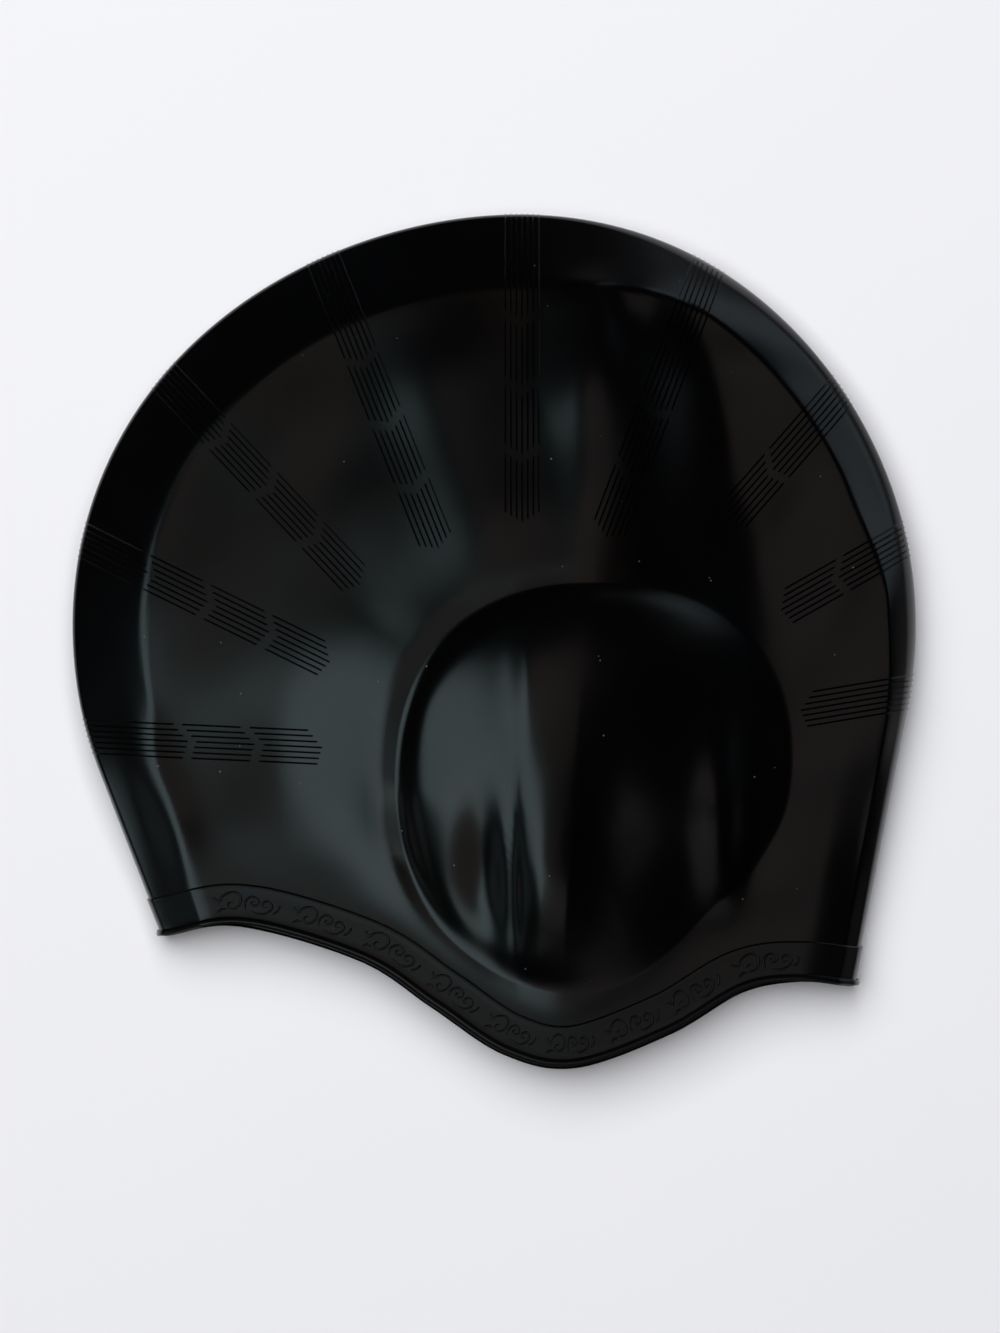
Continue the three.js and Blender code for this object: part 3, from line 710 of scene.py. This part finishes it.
# %% Sizes of the ribs
HUB = np.array([7.5, -35.7 + WIDEST_LINE])
RIDGES, RIDGE_PITCH, RIDGE_WIDTH, RIDGE_RISE = 7, 1.5, 0.58, 0.36
RIDGE_SECTION = [(-0.5, -0.2), (0, 1), (0.5, -0.2)]  # share of the width, and share of the rise
RIDGE_TIP, RIDGE_SINK = 0.25, -0.3  # length of a ridge's sloping end, and the rise that it ends at
EDGE_STEPS, BLOCK_STEPS = 44, 8
BLOCK_PITCH, BLOCK_GAP, CHEVRON = 18.4, 2.0, 2.6
RIB_ROWS = [
    # bearing from the nape side, reach of the edge block, further blocks
    (177.4, 28, 2),
    (153.8, 21, 3),
    (133.3, 24, 3),
    (111.8, 31, 3),
    (90, 29.5, 3),
    (69.2, 25.5, 3),
    (48.8, 29.5, 1),
    (29.5, 22, 1),
    (9.4, 31, 0),
]


def leaves_outline(start, heading):
    """How far from a start, along a heading, the rolled edge's outermost line is crossed."""
    first, span = dome_edge[:-1] - start, np.diff(dome_edge, axis=0)
    scale = heading[0] * span[:, 1] - heading[1] * span[:, 0]
    t = -(heading[0] * first[:, 1] - heading[1] * first[:, 0]) / scale
    reach = (first + span * t[:, None]) @ heading
    return reach[(t >= 0) & (t <= 1) & (reach > 0)].max()


def ridge_path(hit, heading, stations):
    """Places along a ridge. Stations are distances in from the edge, and negative on the lower side."""
    plan = hit - np.abs(stations)[:, None] * heading
    upper = stations >= 0
    height = np.empty(len(stations))
    height[upper] = upper_height(plan[upper])
    if (~upper).any():
        height[~upper] = lower_height(plan[~upper])
    return np.column_stack([plan, height])


def evenly(path, steps):
    """A path in space as so many steps. The first and the last are short, and the others are equal."""
    lengths = np.concatenate([[0], np.cumsum(np.linalg.norm(np.diff(path, axis=0), axis=1))])
    wanted = np.concatenate([[0], np.linspace(RIDGE_TIP, lengths[-1] - RIDGE_TIP, steps - 1), lengths[-1:]])
    return np.stack([np.interp(wanted, lengths, path[:, axis]) for axis in range(3)], axis=1)


def ridge(row_bearing, aside, first, last, steps):
    """One sharp ridge. first and last are its stations, as in ridge_path."""
    heading = np.array([math.cos(math.radians(row_bearing)), math.sin(math.radians(row_bearing))])
    sideways = np.array([heading[1], -heading[0]])
    dense = np.linspace(0, 1, 140)
    if first > 0 > last:
        stations = np.concatenate([first * dense[::-1] ** 2, last * dense[1:] ** 2])
    else:
        stations = mix(first, last, dense[::4])
    lines = []
    for share, _ in RIDGE_SECTION:
        start = HUB + sideways * (aside + share * RIDGE_WIDTH)
        hit = start + heading * leaves_outline(start, heading)
        lines.append(evenly(ridge_path(hit, heading, stations), steps))
    points = np.stack(lines, axis=1)
    out = np.cross(np.gradient(points, axis=0), np.gradient(points, axis=1))
    out /= np.linalg.norm(out, axis=2, keepdims=True)
    if out[0, 1, 2] * first < 0:
        out = -out
    rise = np.array([rise for _, rise in RIDGE_SECTION]) * RIDGE_RISE
    fade = np.ones(steps + 1)
    fade[[0, -1]] = RIDGE_SINK
    lift = np.where(rise[None, :] > 0, rise[None, :] * fade[:, None], rise[None, :])
    return points + out * lift[:, :, None]


print(len(RIB_ROWS), "rows with", sum(1 + blocks for _, _, blocks in RIB_ROWS), "blocks on the upper side")

# %% [markdown]
# ### All the ribs
#
# The rows aren't alike: the ones over the crown have four blocks, and the ones towards the nape have one or
# two. Hundreds of ridges have to stay light, so each has only a few dozen faces. One bar is made and copied,
# and every copy is moved to its place. They are shaded flat, because a mould cuts such ridges with a sharp
# crest, and a rounded one would mirror the window and vanish.

# %% All the ribs
ridge_meshes = {"upper": [], "edge": [], "lower": []}
for bearing, reach, blocks in RIB_ROWS:
    for number in range(RIDGES):
        aside = (number - (RIDGES - 1) / 2) * RIDGE_PITCH
        arrow = CHEVRON * abs(number - (RIDGES - 1) / 2) / ((RIDGES - 1) / 2)
        over = ridge(bearing, aside, reach - arrow, -(reach - arrow), EDGE_STEPS)
        ridge_meshes["edge"].append(over)
        for block in range(blocks):
            near = reach + BLOCK_GAP + block * BLOCK_PITCH
            far = near + BLOCK_PITCH - BLOCK_GAP
            ridge_meshes["upper"].append(ridge(bearing, aside, near - arrow, far - arrow, BLOCK_STEPS))
            ridge_meshes["lower"].append(ridge(bearing, aside, -(near - arrow), -(far - arrow), BLOCK_STEPS))


def bars(grids, name, soft):
    """Many bars of one size as a single piece. One bar is made and copied, and each copy is put in place."""
    rows, columns, _ = grids[0].shape
    template = laid_grid(grids[0])
    many = bmesh.new()
    for _ in grids:
        many.from_mesh(template)
    mesh = bpy.data.meshes.new(name)
    many.to_mesh(mesh)
    many.free()
    row, column = np.meshgrid(np.arange(rows), np.arange(columns), indexing="ij")
    plain = laid_grid(np.dstack([row, column, np.zeros((rows, columns))]))
    index = np.rint(coordinates(plain) / MM).astype(int)
    move_all(mesh, np.concatenate([grid[index[:, 0], index[:, 1]] for grid in grids]))
    tidy = bmesh.new()
    tidy.from_mesh(mesh)
    bmesh.ops.recalc_face_normals(tidy, faces=tidy.faces)
    tidy.to_mesh(mesh)
    tidy.free()
    return finished(mesh, name, soft)


rib_pieces = [bars(grids, "ribs_" + name, soft=False) for name, grids in ridge_meshes.items()]
for piece in rib_pieces:
    print(piece.name, len(piece.data.polygons), "faces")

# %% [markdown]
# ## The scroll on the hem band
#
# A vine scroll is moulded on the band, as on many caps. Each spray is a few strokes: a hook, two curls and
# some leaves. A stroke is a curve through a handful of spots, drawn on a flat strip first. It is then laid on
# the band by its distance along the hem and its depth from the edge, so it follows every bend of the rubber.

# %% Strokes of one spray
SPRAY_PITCH, STROKE_STEPS = 19.6, 22
STROKE_WIDTH, STROKE_RISE = 0.62, 0.36
STROKE_SECTION = [(-0.5, -0.12), (-0.36, 0.62), (0, 1), (0.36, 0.62), (0.5, -0.12)]
BAND_TOP = 9  # the band's flat top starts at this spot of its profile
HEM_ENDS, SPRAY_SHIFT = 12, 1.5  # length of hem without scroll, and how far the sprays sit towards the nape
SPRAY = {
    # name: spots as distance along the hem and depth from its edge
    "hook": [(1.2, 4.9), (2.6, 7.3), (4.9, 8.3), (6.5, 7.1), (6.3, 4.9), (4.9, 3.6), (3.6, 4.2), (3.8, 5.4),
             (4.8, 5.4)],
    "low leaf": [(1.0, 2.9), (2.0, 3.7), (3.1, 3.6)],
    "high leaf": [(0.3, 7.0), (1.2, 6.2), (2.3, 6.0)],
    "first curl": [(7.9, 3.5), (7.6, 5.6), (8.8, 7.3), (10.5, 7.0), (10.8, 5.6), (9.7, 5.0), (9.1, 5.8),
                   (9.8, 6.2)],
    "last curl": [(9.2, 3.4), (11.4, 2.9), (13.5, 3.7), (14.4, 5.5), (13.2, 6.8), (11.9, 6.0), (12.3, 4.9),
                  (13.2, 5.3)],
    "tail": [(14.9, 3.6), (15.9, 4.7), (16.3, 6.4)],
}


def on_band(side, along, depth):
    """Points on the top of a side's band, and the direction out of it, for distances along and depths."""
    points, out, lengths, depths = band_frames[side]
    flat = slice(BAND_TOP, None)
    tops = (points + out * lifts[None, :, None])[:, flat]
    row = np.interp(along, lengths, np.arange(len(lengths)))
    column = np.interp(depth, depths[flat], np.arange(len(depths[flat])))
    low_row = np.minimum(row.astype(int), len(lengths) - 2)
    low_column = np.minimum(column.astype(int), tops.shape[1] - 2)
    down, over = (row - low_row)[..., None], (column - low_column)[..., None]

    def sampled(grid):
        near = mix(grid[low_row, low_column], grid[low_row + 1, low_column], down)
        far = mix(grid[low_row, low_column + 1], grid[low_row + 1, low_column + 1], down)
        return mix(near, far, over)

    return sampled(tops), sampled(out[:, flat])


def stroke(side, start, spots):
    """One raised line of the scroll as a half-round bar on the band."""
    path = smooth_through(np.array(spots), STROKE_STEPS) + (start, 0)
    aside = -inwards(path)
    share = np.linspace(0, 1, STROKE_STEPS + 1)
    taper = np.minimum(1, 0.35 + 5 * np.minimum(share, 1 - share))
    shares, rises = np.array(STROKE_SECTION).T
    offset = shares[None, :, None] * STROKE_WIDTH * taper[:, None, None]
    places = path[:, None, :] + aside[:, None, :] * offset
    points, out = on_band(side, places[:, :, 0], places[:, :, 1])
    rise = rises * STROKE_RISE * taper[:, None]
    return points + out * rise[:, :, None]


sprays = int((HEM_LENGTH - HEM_ENDS) / SPRAY_PITCH)
first_spray = (HEM_LENGTH - sprays * SPRAY_PITCH) / 2 + SPRAY_SHIFT
scroll = [stroke(side, first_spray + number * SPRAY_PITCH, spots)
          for side in band_frames for number in range(sprays) for spots in SPRAY.values()]
hem_scroll = bars(scroll, "hem_scroll", soft=True)
print(sprays, "sprays on each side,", len(scroll), "strokes,", len(hem_scroll.data.polygons), "faces")

# %% [markdown]
# ## Shader sums as plain expressions
#
# A finish is easiest to read as a sum, so one small class wraps a socket of a material. Arithmetic on it adds
# the Math nodes, and `node` adds any other kind.

# %% A socket that can be calculated with


class Shade:
    """A value in a material's node tree."""

    def __init__(self, tree, socket=None):
        self.tree = tree
        self.socket = socket

    def node(self, kind, settings=None, values=None, output=0):
        """Adds a node: its settings first, then the values or links of its sockets."""
        made = self.tree.nodes.new(kind)
        for name, setting in (settings or {}).items():
            if name == "stops":
                for element, (place, colour) in zip(made.color_ramp.elements, setting):
                    element.position, element.color = place, colour
            else:
                setattr(made, name, setting)
        for name, value in (values or {}).items():
            if isinstance(value, Shade):
                self.tree.links.new(value.socket, made.inputs[name])
            else:
                made.inputs[name].default_value = value
        return Shade(self.tree, made.outputs[output])

    def sum(self, operation, first, second):
        return self.node("ShaderNodeMath", {"operation": operation}, {0: first, 1: second})

    def __add__(self, other):
        return self.sum("ADD", self, other)

    def __sub__(self, other):
        return self.sum("SUBTRACT", self, other)

    def __rsub__(self, other):
        return self.sum("SUBTRACT", other, self)

    def __mul__(self, other):
        return self.sum("MULTIPLY", self, other)

    __radd__ = __add__
    __rmul__ = __mul__

    def above(self, low, high):
        """0 below low, 1 above high, and eased between them."""
        settings = {"interpolation_type": "SMOOTHSTEP"}
        return self.node("ShaderNodeMapRange", settings, {0: self, 1: low, 2: high, 3: 0.0, 4: 1.0})

    def blend(self, first, second):
        """From the first colour to the second as this value goes from 0 to 1."""
        return self.node("ShaderNodeMix", {"data_type": "RGBA"}, {0: self, 6: first, 7: second}, output=2)


def noise(start, place, scale, detail=3.0, roughness=0.5):
    """A cloudy value between 0 and 1. The greater the scale, the smaller the clouds."""
    values = {"Vector": place, "Scale": scale, "Detail": detail, "Roughness": roughness}
    return start.node("ShaderNodeTexNoise", None, values)


print("a shade can:", ", ".join(name for name in vars(Shade) if not name.startswith("__")))

# %% [markdown]
# ## The rubber
#
# Silicone gets its black from soot, so hardly any light comes back from inside it, and all that the eye sees
# is the satin shine. The mould was fine-blasted, which gives a soft gloss of about a third, and handling
# leaves cloudy patches that are a little duller. Skin oil and water marks tint the shine only faintly. Talc
# and dust lie on it as rare pale specks, well under a millimetre wide.

# %% Silicone
WARM_BLACK, COOL_BLACK = (0.0007, 0.0005, 0.0004, 1), (0.0004, 0.0005, 0.0007, 1)
DUST = (0.16, 0.15, 0.14, 1)
SILICONE_IOR = 1.42


def silicone(name, gloss, grain, specks):
    """A black silicone. gloss is its roughness, grain the height of its fine texture in millimetres, and
    specks how rare the dust on it is, from 0 to 1."""
    material = bpy.data.materials.new(name)
    material.use_nodes = True
    tree = material.node_tree
    surface = tree.nodes["Principled BSDF"]
    start = Shade(tree)
    place = start.node("ShaderNodeTexCoord", output=3)
    clouds = noise(start, place, 26.0, 4.0, 0.55)
    smears = noise(start, place, 90.0, 3.0, 0.6)
    texture = noise(start, place, 900.0, 2.0, 0.5)
    scattered = {"Vector": place, "Scale": 240.0, "Randomness": 1.0}
    dots = start.node("ShaderNodeTexVoronoi", {"feature": "F1"}, scattered)
    chosen = noise(start, place, 170.0, 1.0, 0.5).above(specks, specks + 0.04)
    dust = (1 - dots.above(0.035, 0.075)) * chosen
    black = clouds.above(0.35, 0.65).blend(WARM_BLACK, COOL_BLACK)
    colour = (dust * 0.5).blend(black, DUST)
    roughness = gloss + 0.07 * (clouds - 0.5) + 0.05 * (smears - 0.5) + dust * 0.3
    tree.links.new(colour.socket, surface.inputs["Base Color"])
    tree.links.new(roughness.socket, surface.inputs["Roughness"])
    height = texture * 0.6 + smears * 0.4
    values = {"Height": height, "Distance": grain * MM, "Strength": 1.0}
    bump = start.node("ShaderNodeBump", None, values)
    tree.links.new(bump.socket, surface.inputs["Normal"])
    surface.inputs["IOR"].default_value = SILICONE_IOR
    return material


skin_silicone = silicone("skin_silicone", 0.25, 0.012, 0.6)
band_silicone = silicone("band_silicone", 0.29, 0.02, 0.66)
rib_silicone = silicone("rib_silicone", 0.24, 0.008, 0.72)
cap_skin.data.materials.append(skin_silicone)
for piece in (hem_band, hem_scroll):
    piece.data.materials.append(band_silicone)
for piece in rib_pieces:
    piece.data.materials.append(rib_silicone)
print("three silicones:", skin_silicone.name, band_silicone.name, rib_silicone.name)

# %% [markdown]
# ## The table
#
# A sheet of pale, cool paper. It is matt, and its fibres make it a trace uneven.

# %% Floor
FLOOR_SIZE = 15  # metres from its middle to its side
PAPER, PALE_PAPER = (0.80, 0.812, 0.838, 1), (0.816, 0.826, 0.852, 1)
floor_mesh = bpy.data.meshes.new("floor")
floor_grid = bmesh.new()
bmesh.ops.create_grid(floor_grid, x_segments=8, y_segments=8, size=FLOOR_SIZE)
floor_grid.to_mesh(floor_mesh)
floor_grid.free()
floor = bpy.data.objects.new("floor", floor_mesh)
bpy.context.scene.collection.objects.link(floor)
paper = bpy.data.materials.new("paper")
paper.use_nodes = True
sheet = Shade(paper.node_tree)
paper_place = sheet.node("ShaderNodeTexCoord", output=3)
fibres = noise(sheet, paper_place, 7.0, 5.0, 0.6).blend(PAPER, PALE_PAPER)
paper_surface = paper.node_tree.nodes["Principled BSDF"]
paper.node_tree.links.new(fibres.socket, paper_surface.inputs["Base Color"])
paper_surface.inputs["Roughness"].default_value = 0.9
paper_surface.inputs["Specular IOR Level"].default_value = 0.1
floor.data.materials.append(paper)
print("paper laid")

# %% [markdown]
# ## The light
#
# Black gloss shows nothing but its surroundings, so the lights are placed by what the rubber should mirror.
# A large window stands low to the left and gives the cool bright flanks. A dim warm ceiling gives the brown
# of the flat parts. A low strip behind the nape draws the light band along the rim, and two faint panels
# fill the slopes towards the near side and the lower left. The key light only reaches the paper and casts
# the soft shadow. Every slope that faces none of them stays black.

# %% Lights
world = bpy.data.worlds.new("studio")
bpy.context.scene.world = world
world.use_nodes = True
world.node_tree.nodes["Background"].inputs["Color"].default_value = (0.80, 0.82, 0.86, 1)
world.node_tree.nodes["Background"].inputs["Strength"].default_value = 1
world.cycles_visibility.diffuse = False
world.cycles_visibility.glossy = False
bpy.context.scene.view_settings.view_transform = "Standard"


def panel(name, bearing, from_zenith, width, height, radiance, colour, distance=1.3, gloss=True):
    """A soft box that faces the cap. bearing is from +X towards +Y, all angles in degrees."""
    light = bpy.data.lights.new(name, "AREA")
    light.shape = "RECTANGLE"
    light.size = 2 * distance * math.tan(math.radians(width / 2))
    light.size_y = 2 * distance * math.tan(math.radians(height / 2))
    light.energy = radiance * math.pi * light.size * light.size_y
    light.color = colour
    lamp = bpy.data.objects.new(name, light)
    turn = Matrix.Rotation(math.radians(bearing + 90), 4, "Z")
    tilt = Matrix.Rotation(math.radians(from_zenith), 4, "X")
    lamp.matrix_world = turn @ tilt @ Matrix.Translation((0, 0, distance))
    lamp.visible_camera = False
    lamp.visible_glossy = gloss
    lamp.visible_diffuse = not gloss
    bpy.context.scene.collection.objects.link(lamp)


MIRRORED = [
    # name, bearing, from zenith, width, height, radiance, colour
    ("window", 212, 30, 44, 27, 2.0, (0.72, 0.95, 1.0)),
    ("ceiling", 0, 4, 30, 28, 0.36, (1, 0.85, 0.78)),
    ("nape_light", 40, 68, 56, 17, 1.0, (0.75, 0.9, 1.0)),
    ("near_side", 270, 38, 40, 30, 0.35, (1, 0.9, 0.85)),
    ("low_left", 212, 66, 16, 16, 0.35, (0.75, 0.95, 1.0)),
]
panel("key", 120, 22, 60, 60, 3.9, (1, 0.99, 1), distance=2.6, gloss=False)
for mirrored in MIRRORED:
    panel(*mirrored)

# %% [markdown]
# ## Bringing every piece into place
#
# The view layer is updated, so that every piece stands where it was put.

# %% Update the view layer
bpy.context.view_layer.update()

# %% [markdown]
# ## The shown pieces
#
# The last line lists the pieces that show. The cap is one body, so all of it moves as one.

# %% Finish
shown = [cap_skin, hem_band, hem_scroll, *rib_pieces]
print("handed over:", ", ".join(piece.name for piece in shown))
